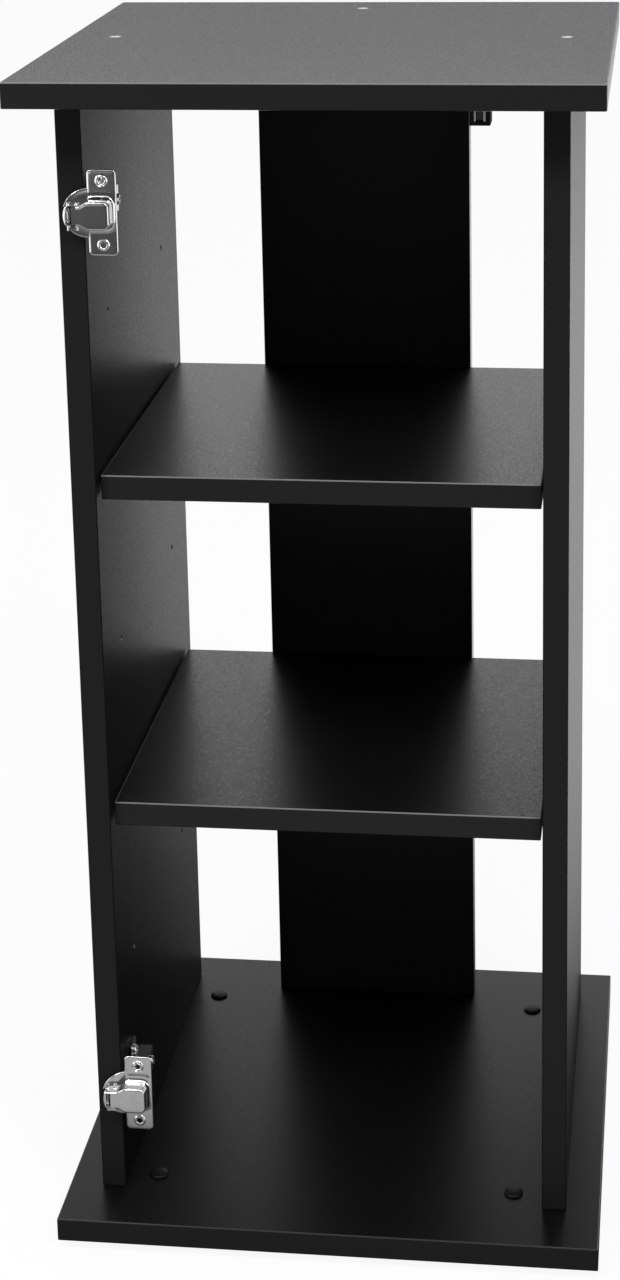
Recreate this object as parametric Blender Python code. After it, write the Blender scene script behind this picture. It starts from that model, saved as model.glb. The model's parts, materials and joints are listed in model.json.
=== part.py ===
"""Tall open stand of black board: square top and base, two sides, a narrow back, two loose shelves,
levelling feet, a magnetic catch and two concealed cup hinges for a door. Metres, +Z up, front at -Y."""

import math

import bmesh
import bpy
from mathutils import Matrix, Vector

# Boards
BOARD_T = 0.018
BODY_W = 0.400
BODY_D = 0.400
BODY_H = 0.869
EDGE_ROUND = 0.0008
SIDE_OVERHANG = 0.025
FRONT_OVERHANG = 0.046
REAR_OVERHANG = 0.028
BACK_W = 0.168
SHELF_SET_BACK = 0.009
SHELF_END_GAP = 0.0015

# Gap kept between two pieces that touch, and round a pin that turns in its hole
FIT = 0.0003
RUN = 0.0002
# How far a cutter reaches past the face that it opens
PAST = 0.002

# Rows of shelf pin holes in the side panels, evenly spaced between the lowest and the highest
PIN_ROWS = 5
PIN_ABOVE_BASE = 0.168
PIN_BELOW_TOP = 0.1642
PIN_FRONT = 0.062
PIN_REAR = 0.065
PIN_HOLE_R = 0.0025
PIN_HOLE_DEPTH = 0.012
PIN_STUD_DEPTH = 0.009
PIN_NOSE = 0.0075
PIN_NOSE_R = 0.0036
LOWER_SHELF_ROW = 1
UPPER_SHELF_ROW = 3

# Countersunk screws through the top and the base into the uprights
BOARD_SCREW_HEAD_R = 0.0043
BOARD_SCREW_HEAD_H = 0.0034
BOARD_SCREW_R = 0.0021
BOARD_SCREW_L = 0.050
RECESS_SPAN = 0.0046
RECESS_WIDTH = 0.0010
RECESS_DEPTH = 0.0015

# Levelling feet, and the blind sleeves pressed into the base from above
FOOT_INSET = 0.065
FOOT_PAD_R = 0.014
FOOT_PAD_T = 0.0077
FOOT_SPINDLE_R = 0.0036
FOOT_SPINDLE_L = 0.0135
SLEEVE_WALL = 0.0020
SLEEVE_CROWN_T = 0.0025
SLEEVE_RIM_R = 0.0070
SLEEVE_RIM_H = 0.0007
SLEEVE_DOME_H = 0.0014

# Magnetic catch under the top
CATCH_FROM_SIDE = 0.0425
CATCH_W = 0.014
CATCH_H = 0.0175
CATCH_HEAD_D = 0.019
CATCH_TAIL_D = 0.022
CATCH_TAIL_T = 0.005
POLE_T = 0.0010
POLE_GAP = 0.0055
POLE_H = 0.0125
POLE_D = 0.014
POLE_PROUD = 0.0008
POLE_RAISE = 0.0030
MAGNET_SET_BACK = 0.0020
CATCH_SCREW_R = 0.0015
CATCH_SCREW_L = 0.012
CATCH_SCREW_HEAD_R = 0.0030
CATCH_SCREW_HEAD_H = 0.0018

# Hinge centres, above the base and below the top
LOWER_HINGE_UP = 0.0805
UPPER_HINGE_DOWN = 0.0792

# Hinge plan: first value inboard from the side panel's inner face, second back from its front edge
ARM_PIVOT_REAR = (0.0042, 0.0011)
ARM_PIVOT_FRONT = (0.0149, -0.0059)
CUP_PIVOT_OUTER = (-0.0091, -0.0082)
CUP_PIVOT_INNER = (-0.0035, -0.0077)
HINGE_PIN_R = 0.0011

# Hinge cup and its flange
CUP_R = 0.0175
CUP_CENTRE = 0.0035
CUP_WALL = 0.0008
DOOR_FACE = -0.0017
FLANGE_T = 0.0012
FLANGE_W = 0.0206
FLANGE_H = 0.0605
FLANGE_CORNER = 0.0030
FLANGE_HOLE_OUT = 0.0095
FLANGE_HOLE_SPACING = 0.045
FLANGE_HOLE_R = 0.0022
FLANGE_SINK_R = 0.0042
WING_T = 0.0010
WING_SLOPE = 0.26
POCKET_DEPTH = 0.0118
POCKET_RIGHT = 0.0168
POCKET_LEFT = 0.0158
POCKET_HALF = 0.0103
POCKET_NECK_HALF = 0.0071
POCKET_CORNER = 0.0042
NECK_CORNER = 0.0030
NECK_START = 0.0020
NECK_END = 0.0055
SLOT_RIGHT = 0.0098
SLOT_W = 0.0028
SLOT_HALF = 0.0056
LINK_WAY_HALF = 0.0051
LINK_WAY_DEPTH = 0.0083

# Links, layered along the pins: the inner link in the middle, the outer link's cheeks beside it
LINK_EYE_R = 0.0022
LINK_HALF = 0.0010
INNER_LINK_HALF_H = 0.0026
CHEEK_LOW = 0.0030
CHEEK_HIGH = 0.0048
PLAY_ALONG = 0.0009
PLAY_ACROSS = 0.0020
PLAY_WALL = 0.0009

# Hinge arm and mounting plate
ARM_CHEEK_LOW = 0.0052
ARM_CHEEK_T = 0.0015
ARM_EYE_R = 0.0024
ARM_BACK = 0.052
ARM_OUT = 0.0130
ARM_WEB_T = 0.0012
ARM_HALF = 0.0093
ARM_CHANNEL_START = 0.0110
ARM_NOSE_END = 0.0075
ARM_LAP_END = 0.0200
ARM_CLEAR = 0.0034
PLATE_T = 0.0023
PLATE_WING_FRONT = 0.028
PLATE_WING_REAR = 0.044
PLATE_WING_HALF = 0.0210
PLATE_BODY_FRONT = 0.012
PLATE_BODY_REAR = 0.050
PLATE_BODY_HALF = 0.0046
PLATE_SCREW_Z = 0.014
PLATE_SCREW_BACK = 0.036
PLATE_SCREW_R = 0.0022
PLATE_SCREW_L = 0.0125
PLATE_SCREW_HEAD_R = 0.0040
PLATE_SCREW_HEAD_H = 0.0022
FIXING_SCREW_BACK = 0.045
SIDE_SCREW_BACK = 0.019
ARM_SCREW_R = 0.0020
ARM_SCREW_L = 0.0080
FIXING_HEAD_R = 0.0040
FIXING_HEAD_H = 0.0020
SIDE_HEAD_R = 0.0028
SIDE_HEAD_H = 0.0012

# Levels and places that follow from the sizes above
FOOT_H = FOOT_PAD_T + FIT
BASE_TOP = FOOT_H + BOARD_T
TOP_FACE = FOOT_H + BODY_H
TOP_UNDER = TOP_FACE - BOARD_T
SIDE_OUT = BODY_W / 2 - SIDE_OVERHANG
SIDE_IN = SIDE_OUT - BOARD_T
SIDE_MID = SIDE_OUT - BOARD_T / 2
SIDE_FRONT = -BODY_D / 2 + FRONT_OVERHANG
SIDE_REAR = BODY_D / 2 - REAR_OVERHANG
SIDE_MID_Y = (SIDE_FRONT + SIDE_REAR) / 2
BACK_FRONT = SIDE_REAR - BOARD_T
BACK_MID_Y = SIDE_REAR - BOARD_T / 2
PIN_COLUMNS = {"front": SIDE_FRONT + PIN_FRONT, "rear": SIDE_REAR - PIN_REAR}
ROUND_STEPS = 24

# Finish of each material: linear colour, roughness, metallic
FINISHES = {
    "black melamine": ((0.012, 0.012, 0.012), 0.38, 0.0),
    "bright nickel": ((0.72, 0.70, 0.67), 0.18, 1.0),
    "zinc plated steel": ((0.66, 0.67, 0.68), 0.30, 1.0),
    "black plastic": ((0.010, 0.010, 0.010), 0.45, 0.0),
    "dark grey plastic": ((0.045, 0.045, 0.045), 0.60, 0.0),
    "dark ferrite": ((0.030, 0.030, 0.032), 0.55, 0.0),
}


def material(piece, finish):
    """A material of its own for one piece."""
    colour, roughness, metallic = FINISHES[finish]
    made = bpy.data.materials.new(f"{piece} {finish}")
    made.use_nodes = True
    shader = made.node_tree.nodes["Principled BSDF"]
    shader.inputs["Base Color"].default_value = (*colour, 1.0)
    shader.inputs["Roughness"].default_value = roughness
    shader.inputs["Metallic"].default_value = metallic
    return made


def add(name, shape, finish, origin=(0.0, 0.0, 0.0), parent=None):
    """Makes a named object of a bmesh whose points are in its parent's frame, with its origin there."""
    bmesh.ops.recalc_face_normals(shape, faces=shape.faces)
    bmesh.ops.translate(shape, verts=shape.verts, vec=-Vector(origin))
    mesh = bpy.data.meshes.new(name)
    shape.to_mesh(mesh)
    shape.free()
    mesh.shade_smooth()
    mesh.set_sharp_from_angle(angle=math.radians(35))
    made = bpy.data.objects.new(name, mesh)
    bpy.context.collection.objects.link(made)
    made.location = origin
    made.parent = parent
    if finish is not None:
        mesh.materials.append(material(name, finish))
    return made


def combine(target, tool_name, shape, operation="DIFFERENCE"):
    """Cuts a hidden tool out of the target, or joins it on."""
    tool = add(tool_name, shape, None, parent=target.parent)
    tool.hide_render = True
    tool.display_type = "WIRE"
    step = target.modifiers.new(tool_name, "BOOLEAN")
    step.operation = operation
    step.solver = "EXACT"
    step.object = tool


def merged(*shapes):
    """One bmesh that holds several shapes which stay apart from each other."""
    whole = bmesh.new()
    for shape in shapes:
        mesh = bpy.data.meshes.new("scratch")
        shape.to_mesh(mesh)
        shape.free()
        whole.from_mesh(mesh)
        bpy.data.meshes.remove(mesh)
    return whole


def block(low, high, edge=0.0):
    """A box between two corners, its edges rounded if edge is given."""
    shape = bmesh.new()
    bmesh.ops.create_cube(shape, size=1.0)
    low, high = Vector(low), Vector(high)
    bmesh.ops.scale(shape, vec=high - low, verts=shape.verts)
    bmesh.ops.translate(shape, vec=(low + high) / 2, verts=shape.verts)
    if edge:
        bmesh.ops.bevel(shape, geom=shape.edges[:], offset=edge, segments=2, profile=0.5, affect="EDGES")
    return shape


def prism(outline, low, high, axis="Z"):
    """An outline of two-number points carried along Z, or along Y with the outline in X and Z."""
    shape = bmesh.new()
    if axis == "Z":
        rings = [[shape.verts.new((a, b, level)) for a, b in outline] for level in (low, high)]
    else:
        rings = [[shape.verts.new((a, level, b)) for a, b in outline] for level in (low, high)]
    shape.faces.new(rings[0][::-1])
    shape.faces.new(rings[1])
    for k in range(len(outline)):
        n = (k + 1) % len(outline)
        shape.faces.new((rings[0][k], rings[0][n], rings[1][n], rings[1][k]))
    return shape


def turned(profile, steps=ROUND_STEPS):
    """A profile of (radius, height) points, from its lowest point on the axis up to its highest."""
    shape = bmesh.new()
    rings = []
    for radius, height in profile:
        if radius == 0.0:
            rings.append([shape.verts.new((0.0, 0.0, height))])
            continue
        turn = [2 * math.pi * k / steps for k in range(steps)]
        rings.append([shape.verts.new((radius * math.cos(a), radius * math.sin(a), height)) for a in turn])
    for low, high in zip(rings, rings[1:]):
        for k in range(steps):
            n = (k + 1) % steps
            corners = [low[k % len(low)], low[n % len(low)], high[n % len(high)], high[k % len(high)]]
            shape.faces.new(list(dict.fromkeys(corners)))
    return shape


def placed(shape, where, turn=None):
    """A shape turned about the origin and then moved."""
    matrix = Matrix.Translation(where)
    if turn is not None:
        matrix = matrix @ Matrix.Rotation(math.radians(turn[0]), 4, turn[1])
    bmesh.ops.transform(shape, matrix=matrix, verts=shape.verts)
    return shape


def rod(radius, low, high, steps=16):
    return turned([(0.0, low), (radius, low), (radius, high), (0.0, high)], steps)


def arc(centre, radius, start, end, steps):
    """Points round a centre, both ends included, angles in degrees."""
    angles = [math.radians(start + (end - start) * k / steps) for k in range(steps + 1)]
    return [(centre[0] + radius * math.cos(a), centre[1] + radius * math.sin(a)) for a in angles]


def rounded_rectangle(low, high, corner, steps=5):
    (x0, y0), (x1, y1) = low, high
    outline = arc((x1 - corner, y1 - corner), corner, 0, 90, steps)
    outline += arc((x0 + corner, y1 - corner), corner, 90, 180, steps)
    outline += arc((x0 + corner, y0 + corner), corner, 180, 270, steps)
    outline += arc((x1 - corner, y0 + corner), corner, 270, 360, steps)
    return outline


def countersunk(head_r, head_h, shank_r, length, grow=0.0):
    """Countersunk screw pointing down from its flat head at zero. With grow it is the hole for it."""
    top = PAST if grow else 0.0
    profile = [(0.0, -length - grow), (shank_r + grow, -length + shank_r * (grow == 0.0) - grow)]
    profile += [(shank_r + grow, -head_h), (head_r + grow, 0.0)]
    if grow:
        profile.append((head_r + grow, top))
    return turned(profile + [(0.0, top)], 16)


def button(head_r, head_h, shank_r, length):
    """Flat button screw pointing down, with the underside of its head at zero."""
    profile = [(0.0, -length), (shank_r * 0.6, -length), (shank_r, -length + shank_r * 0.6), (shank_r, 0.0)]
    profile += [(head_r, 0.0), (head_r, head_h * 0.6), (head_r * 0.8, head_h), (0.0, head_h)]
    return turned(profile, 16)


def cross_recess(span, width, top, depth):
    """A cross-shaped plug that cuts the driver's recess into a screw head."""
    a, b = span / 2, width / 2
    quarter = [(a, -b), (a, b), (b, b)]
    outline = []
    for _ in range(4):
        outline += quarter
        quarter = [(-y, x) for x, y in quarter]
    return prism(outline, top - depth, top + PAST)


def eyed_bar(start, end, eye, half):
    """Outline of a flat bar with a round eye at each end."""
    start, end = Vector(start), Vector(end)
    turn = math.degrees(math.atan2(end.y - start.y, end.x - start.x))
    mouth = math.degrees(math.asin(half / eye))
    outline = arc(start, eye, turn + mouth, turn + 360 - mouth, 12)
    outline += arc(end, eye, turn + 180 + mouth, turn + 540 - mouth, 12)
    return outline


def board_screw_places():
    """Where the screws of the top and of the base meet the uprights, seen from above."""
    return {"left": (-SIDE_MID, SIDE_MID_Y), "right": (SIDE_MID, SIDE_MID_Y), "back": (0.0, BACK_MID_Y)}


def board_screw_hole():
    return countersunk(BOARD_SCREW_HEAD_R, BOARD_SCREW_HEAD_H, BOARD_SCREW_R, BOARD_SCREW_L, FIT)


def make_board_screws(finish):
    recess = (RECESS_SPAN, RECESS_WIDTH, 0.0, RECESS_DEPTH)
    for side, (x, y) in board_screw_places().items():
        for end, level, turn in (("top", TOP_FACE - FIT, 0), ("base", FOOT_H + FIT, 180)):
            shape = countersunk(BOARD_SCREW_HEAD_R, BOARD_SCREW_HEAD_H, BOARD_SCREW_R, BOARD_SCREW_L)
            screw = add(f"{end}_screw_{side}", placed(shape, (x, y, level), (turn, "X")), finish)
            cut = placed(cross_recess(*recess), (x, y, level), (turn, "X"))
            combine(screw, f"{end}_screw_{side}_recess", cut)


def foot_places():
    x, y = BODY_W / 2 - FOOT_INSET, BODY_D / 2 - FOOT_INSET
    return {"front_left": (-x, -y), "front_right": (x, -y), "rear_left": (-x, y), "rear_right": (x, y)}


def sleeve_radius():
    return FOOT_SPINDLE_R + RUN + SLEEVE_WALL


def make_feet(plastic, pad_finish):
    """Screw-in feet at their upper stop, and the closed sleeves that carry them."""
    bore_r = FOOT_SPINDLE_R + RUN
    crown = BOARD_T - SLEEVE_CROWN_T
    for corner, (x, y) in foot_places().items():
        pad = [(0.0, 0.0), (FOOT_PAD_R - 0.001, 0.0), (FOOT_PAD_R, 0.001), (FOOT_PAD_R, FOOT_PAD_T - 0.002)]
        pad += [(FOOT_PAD_R - 0.002, FOOT_PAD_T), (FOOT_SPINDLE_R, FOOT_PAD_T)]
        pad += [(FOOT_SPINDLE_R, FOOT_PAD_T + FOOT_SPINDLE_L), (0.0, FOOT_PAD_T + FOOT_SPINDLE_L)]
        add(f"levelling_foot_{corner}", placed(turned(pad), (x, y, 0.0)), pad_finish, (x, y, 0.0))
        body = [(0.0, crown), (bore_r, crown), (bore_r, FIT), (sleeve_radius(), FIT)]
        body += [(sleeve_radius(), BOARD_T + FIT), (SLEEVE_RIM_R, BOARD_T + FIT)]
        body += [(SLEEVE_RIM_R, BOARD_T + FIT + SLEEVE_RIM_H)]
        rise = BOARD_T + FIT + SLEEVE_RIM_H
        body += [(SLEEVE_RIM_R * math.cos(a), rise + SLEEVE_DOME_H * math.sin(a)) for a in (0.4, 0.8, 1.2)]
        body += [(0.0, rise + SLEEVE_DOME_H)]
        add(f"foot_sleeve_{corner}", placed(turned(body), (x, y, FOOT_H)), plastic)


def hinge_levels():
    return {"upper": TOP_UNDER - UPPER_HINGE_DOWN, "lower": BASE_TOP + LOWER_HINGE_UP}


def pin_level(row):
    lowest, highest = BASE_TOP + PIN_ABOVE_BASE, TOP_UNDER - PIN_BELOW_TOP
    return lowest + row * (highest - lowest) / (PIN_ROWS - 1)


def side_holes(sign):
    """Cutters for one side panel: pin rows, pilot holes of the board screws, hinge plate screws."""
    turn = (90 * sign, "Y")
    shapes = []
    for y in PIN_COLUMNS.values():
        for row in range(PIN_ROWS):
            hole = rod(PIN_HOLE_R, -PAST, PIN_HOLE_DEPTH)
            shapes.append(placed(hole, (sign * SIDE_IN, y, pin_level(row)), turn))
    if sign < 0:
        for level in hinge_levels().values():
            for offset in (-PLATE_SCREW_Z, PLATE_SCREW_Z):
                hole = rod(PLATE_SCREW_R + FIT, -PAST, PLATE_SCREW_L - PLATE_T)
                spot = (-SIDE_IN, SIDE_FRONT + PLATE_SCREW_BACK, level + offset)
                shapes.append(placed(hole, spot, turn))
    x, y = board_screw_places()["right" if sign > 0 else "left"]
    shapes.append(placed(board_screw_hole(), (x, y, TOP_FACE)))
    shapes.append(placed(board_screw_hole(), (x, y, FOOT_H), (180, "X")))
    return merged(*shapes)


def make_boards(finish):
    """Top, base, sides and back, with every hole that their fasteners need."""
    half_w, half_d = BODY_W / 2, BODY_D / 2
    low, high = BASE_TOP + FIT, TOP_UNDER - FIT
    spots = board_screw_places()
    shape = block((-half_w, -half_d, TOP_UNDER), (half_w, half_d, TOP_FACE), EDGE_ROUND)
    top = add("top_panel", shape, finish)
    holes = [placed(board_screw_hole(), (x, y, TOP_FACE)) for x, y in spots.values()]
    for y in catch_screw_places():
        hole = rod(CATCH_SCREW_R + FIT, -CATCH_SCREW_L, CATCH_SCREW_L)
        holes.append(placed(hole, (catch_x(), y, TOP_UNDER)))
    combine(top, "top_holes", merged(*holes))

    shape = block((-half_w, -half_d, FOOT_H), (half_w, half_d, BASE_TOP), EDGE_ROUND)
    base = add("base_panel", shape, finish)
    holes = [placed(board_screw_hole(), (x, y, FOOT_H), (180, "X")) for x, y in spots.values()]
    for x, y in foot_places().values():
        hole = rod(sleeve_radius() + FIT, -PAST, BOARD_T + PAST, ROUND_STEPS)
        holes.append(placed(hole, (x, y, FOOT_H)))
    combine(base, "base_holes", merged(*holes))

    for side, sign in (("left", -1), ("right", 1)):
        x0, x1 = sorted((sign * SIDE_IN, sign * SIDE_OUT))
        shape = block((x0, SIDE_FRONT, low), (x1, SIDE_REAR, high), EDGE_ROUND)
        panel = add(f"{side}_side_panel", shape, finish)
        combine(panel, f"{side}_side_holes", side_holes(sign))

    shape = block((-BACK_W / 2, BACK_FRONT, low), (BACK_W / 2, SIDE_REAR, high), EDGE_ROUND)
    back = add("back_panel", shape, finish)
    x, y = spots["back"]
    upper = placed(board_screw_hole(), (x, y, TOP_FACE))
    lower = placed(board_screw_hole(), (x, y, FOOT_H), (180, "X"))
    combine(back, "back_holes", merged(upper, lower))


def make_pin(name, sign, y, seat, metal):
    """A stud in the side panel's hole and a half-round nose whose flat top carries the shelf."""
    where = (sign * SIDE_IN, y, seat)
    nose = prism(arc((0.0, 0.0), PIN_NOSE_R, 180, 360, 10), FIT, PIN_NOSE, "Y")
    pin = add(name, placed(nose, where, (90 * sign, "Z")), metal)
    stud = rod(PIN_HOLE_R - FIT, -PIN_STUD_DEPTH, PIN_NOSE / 2)
    combine(pin, f"{name}_stud", placed(stud, where, (-90 * sign, "Y")), "UNION")
    reach = SIDE_IN - FIT
    room = block((-reach, y - PIN_NOSE_R, seat), (reach, y + PIN_NOSE_R, seat + PIN_NOSE_R))
    combine(pin, f"{name}_flat", room)


def make_shelves(board, metal):
    """Loose shelves, each on four flat-topped pins in the side panels."""
    half = SIDE_IN - SHELF_END_GAP
    front, rear = SIDE_FRONT + SHELF_SET_BACK, BACK_FRONT - FIT
    for name, row in (("upper", UPPER_SHELF_ROW), ("lower", LOWER_SHELF_ROW)):
        seat = pin_level(row)
        low = seat + FIT
        shape = block((-half, front, low), (half, rear, low + BOARD_T), EDGE_ROUND)
        add(f"{name}_shelf", shape, board, (0.0, (front + rear) / 2, low))
        for side, sign in (("left", -1), ("right", 1)):
            for column, y in PIN_COLUMNS.items():
                make_pin(f"shelf_pin_{name}_{side}_{column}", sign, y, seat, metal)


def catch_x():
    return SIDE_IN - CATCH_FROM_SIDE


def catch_screw_places():
    tail = SIDE_FRONT + CATCH_HEAD_D
    return (tail + CATCH_TAIL_D * 0.27, tail + CATCH_TAIL_D * 0.73)


def make_catch(plastic, steel, dark):
    """Housing screwed under the top, its two pole plates and the magnet between them facing the door."""
    x, roof = catch_x(), TOP_UNDER - FIT
    front, tail = SIDE_FRONT, SIDE_FRONT + CATCH_HEAD_D
    left, right = x - CATCH_W / 2, x + CATCH_W / 2
    outline = [(front, roof - CATCH_H), (tail, roof - CATCH_H), (tail, roof - CATCH_TAIL_T)]
    outline += [(tail + CATCH_TAIL_D, roof - CATCH_TAIL_T), (tail + CATCH_TAIL_D, roof), (front, roof)]
    shape = bmesh.new()
    rings = [[shape.verts.new((side, y, z)) for y, z in outline] for side in (left, right)]
    shape.faces.new(rings[0])
    shape.faces.new(rings[1][::-1])
    for k in range(len(outline)):
        n = (k + 1) % len(outline)
        shape.faces.new((rings[0][k], rings[1][k], rings[1][n], rings[0][n]))
    housing = add("catch_housing", shape, plastic)
    pole_low = roof - CATCH_H + POLE_RAISE
    pole_high, pole_end = pole_low + POLE_H, front + POLE_D
    reach = POLE_GAP / 2 + POLE_T + FIT
    room = block((x - reach, front - PAST, pole_low - FIT), (x + reach, pole_end + FIT, pole_high + FIT))
    combine(housing, "catch_room", room)
    holes = [placed(rod(CATCH_SCREW_R + FIT, -CATCH_H, PAST), (x, y, roof)) for y in catch_screw_places()]
    combine(housing, "catch_screw_holes", merged(*holes))
    for side, sign in (("left", -1), ("right", 1)):
        inner, outer = sorted((x + sign * POLE_GAP / 2, x + sign * (POLE_GAP / 2 + POLE_T)))
        plate = block((inner, front - POLE_PROUD, pole_low), (outer, pole_end, pole_high))
        add(f"catch_pole_{side}", plate, steel)
    half = POLE_GAP / 2 - FIT
    magnet = block((x - half, front + MAGNET_SET_BACK, pole_low), (x + half, pole_end, pole_high))
    add("catch_magnet", magnet, dark)
    for end, y in zip(("front", "rear"), catch_screw_places()):
        under = roof - CATCH_TAIL_T - FIT
        shape = button(CATCH_SCREW_HEAD_R, CATCH_SCREW_HEAD_H, CATCH_SCREW_R, CATCH_SCREW_L)
        screw = add(f"catch_screw_{end}", placed(shape, (x, y, under), (180, "X")), steel)
        cut = cross_recess(RECESS_SPAN * 0.7, RECESS_WIDTH * 0.8, CATCH_SCREW_HEAD_H, RECESS_DEPTH * 0.6)
        combine(screw, f"catch_screw_{end}_recess", placed(cut, (x, y, under), (180, "X")))


def pocket_outline(inset=0.0):
    """Front view of the deep part of the cup: a rounded box that necks down to the hinge side."""
    right, left = CUP_CENTRE + POCKET_RIGHT - inset, CUP_CENTRE - POCKET_LEFT + inset
    half, neck = POCKET_HALF - inset, POCKET_NECK_HALF - inset
    corner, end = POCKET_CORNER - inset, NECK_CORNER - inset
    upper = arc((right - corner, half - corner), corner, 0, 90, 5)
    wide, slim = CUP_CENTRE + NECK_START, CUP_CENTRE - NECK_END
    for k in range(7):
        t = k / 6
        ease = t * t * (3 - 2 * t)
        upper.append((wide + (slim - wide) * t, half + (neck - half) * ease))
    upper += arc((left + end, neck - end), end, 90, 180, 4)
    return upper + [(a, -b) for a, b in reversed(upper)]


def make_cup(name, frame, metal):
    """Pressed cup: a flange for the door, two sloping round wings and the deep pocket that takes the links."""
    pocket_floor = DOOR_FACE - POCKET_DEPTH
    flange_x = CUP_CENTRE + FLANGE_HOLE_OUT
    low, high = (flange_x - FLANGE_W / 2, -FLANGE_H / 2), (flange_x + FLANGE_W / 2, FLANGE_H / 2)
    flange = prism(rounded_rectangle(low, high, FLANGE_CORNER), DOOR_FACE, DOOR_FACE + FLANGE_T, "Y")
    cup = add(name, flange, metal, (*CUP_PIVOT_OUTER, 0.0), frame)
    half_disc = arc((CUP_CENTRE, 0.0), CUP_R, 90, 270, 24)
    wings = prism(half_disc, DOOR_FACE + FIT, DOOR_FACE + FIT + WING_T, "Y")
    for vert in wings.verts:
        vert.co.y += WING_SLOPE * (vert.co.x - CUP_CENTRE)
    combine(cup, f"{name}_wings", wings, "UNION")
    body = prism(pocket_outline(), pocket_floor, DOOR_FACE + FLANGE_T / 3, "Y")
    combine(cup, f"{name}_pocket", body, "UNION")
    room = prism(pocket_outline(CUP_WALL), pocket_floor + CUP_WALL, DOOR_FACE + FLANGE_T + PAST, "Y")
    combine(cup, f"{name}_room", room)
    low = (CUP_CENTRE - CUP_R - PAST, DOOR_FACE - LINK_WAY_DEPTH, -LINK_WAY_HALF)
    high = (CUP_CENTRE - POCKET_LEFT + 2 * CUP_WALL, FLANGE_T, LINK_WAY_HALF)
    combine(cup, f"{name}_link_way", block(low, high))
    low = (CUP_CENTRE - SLOT_RIGHT - SLOT_W, pocket_floor - PAST, -SLOT_HALF)
    high = (CUP_CENTRE - SLOT_RIGHT, pocket_floor + 2 * CUP_WALL, SLOT_HALF)
    combine(cup, f"{name}_slot", block(low, high))
    bores = []
    for x, y in (CUP_PIVOT_OUTER, CUP_PIVOT_INNER):
        bores.append(placed(rod(HINGE_PIN_R + FIT, -CUP_R, CUP_R), (x, y, 0.0)))
    combine(cup, f"{name}_bores", merged(*bores))
    sinks = []
    for z in (-FLANGE_HOLE_SPACING / 2, FLANGE_HOLE_SPACING / 2):
        profile = [(0.0, -PAST), (FLANGE_HOLE_R, -PAST), (FLANGE_HOLE_R, FLANGE_T / 3)]
        profile += [(FLANGE_SINK_R, FLANGE_T + FIT), (0.0, FLANGE_T + FIT)]
        sinks.append(placed(turned(profile), (flange_x, DOOR_FACE, z), (-90, "X")))
    combine(cup, f"{name}_screw_holes", merged(*sinks))


def make_cup_pin(name, frame, metal):
    """U-shaped pin: two legs through the cup and both links, joined below the cup."""
    reach = POCKET_NECK_HALF + 2 * FIT
    bridge = reach + 2 * HINGE_PIN_R
    outer, inner = Vector(CUP_PIVOT_OUTER), Vector(CUP_PIVOT_INNER)
    leg = placed(rod(HINGE_PIN_R, -bridge + HINGE_PIN_R / 2, reach), (*outer, 0.0))
    pin = add(name, leg, metal, (*outer, 0.0), frame)
    other = placed(rod(HINGE_PIN_R, -bridge + HINGE_PIN_R / 2, reach), (*inner, 0.0))
    combine(pin, f"{name}_leg", other, "UNION")
    outline = eyed_bar(outer, inner, HINGE_PIN_R * 1.15, HINGE_PIN_R * 0.95)
    combine(pin, f"{name}_bridge", prism(outline, -bridge - HINGE_PIN_R, -bridge + HINGE_PIN_R), "UNION")


def make_links(name, frame, metal):
    """The outer link straddles the inner one. The inner link's eye on the arm has play all round."""
    bore = HINGE_PIN_R + RUN
    start, end = Vector(ARM_PIVOT_REAR), Vector(CUP_PIVOT_OUTER)
    shape = prism(eyed_bar(start, end, LINK_EYE_R, LINK_HALF), -CHEEK_HIGH, CHEEK_HIGH)
    outer = add(f"{name}_outer_link", shape, metal, (*start, 0.0), frame)
    along = (end - start).normalized()
    clear = start + along * (LINK_EYE_R + FIT)
    beyond = end + along * (LINK_EYE_R + PAST)
    side = Vector((-along.y, along.x)) * (LINK_EYE_R + PAST)
    gap = [clear - side, beyond - side, beyond + side, clear + side]
    combine(outer, f"{name}_outer_gap", prism([tuple(p) for p in gap], -CHEEK_LOW, CHEEK_LOW))
    bores = [placed(rod(bore, -CUP_R, CUP_R), (*p, 0.0)) for p in (ARM_PIVOT_REAR, CUP_PIVOT_OUTER)]
    combine(outer, f"{name}_outer_bores", merged(*bores))

    start, end = Vector(ARM_PIVOT_FRONT), Vector(CUP_PIVOT_INNER)
    outline = eyed_bar(start, end, LINK_EYE_R, LINK_HALF)
    shape = prism(outline, -INNER_LINK_HALF_H, INNER_LINK_HALF_H)
    inner = add(f"{name}_inner_link", shape, metal, (*end, 0.0), frame)
    turn = math.degrees(math.atan2(end.y - start.y, end.x - start.x))
    for step, grow, height in (("head", PLAY_WALL, INNER_LINK_HALF_H), ("play", 0.0, CUP_R)):
        a, b = bore + PLAY_ALONG + grow, bore + PLAY_ACROSS + grow
        ring = rounded_rectangle((-a, -b), (a, b), a * 0.98)
        shape = placed(prism(ring, -height, height), (*start, 0.0), (turn, "Z"))
        combine(inner, f"{name}_inner_{step}", shape, "UNION" if grow else "DIFFERENCE")
    combine(inner, f"{name}_inner_bore", placed(rod(bore, -CUP_R, CUP_R), (*end, 0.0)))


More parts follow.
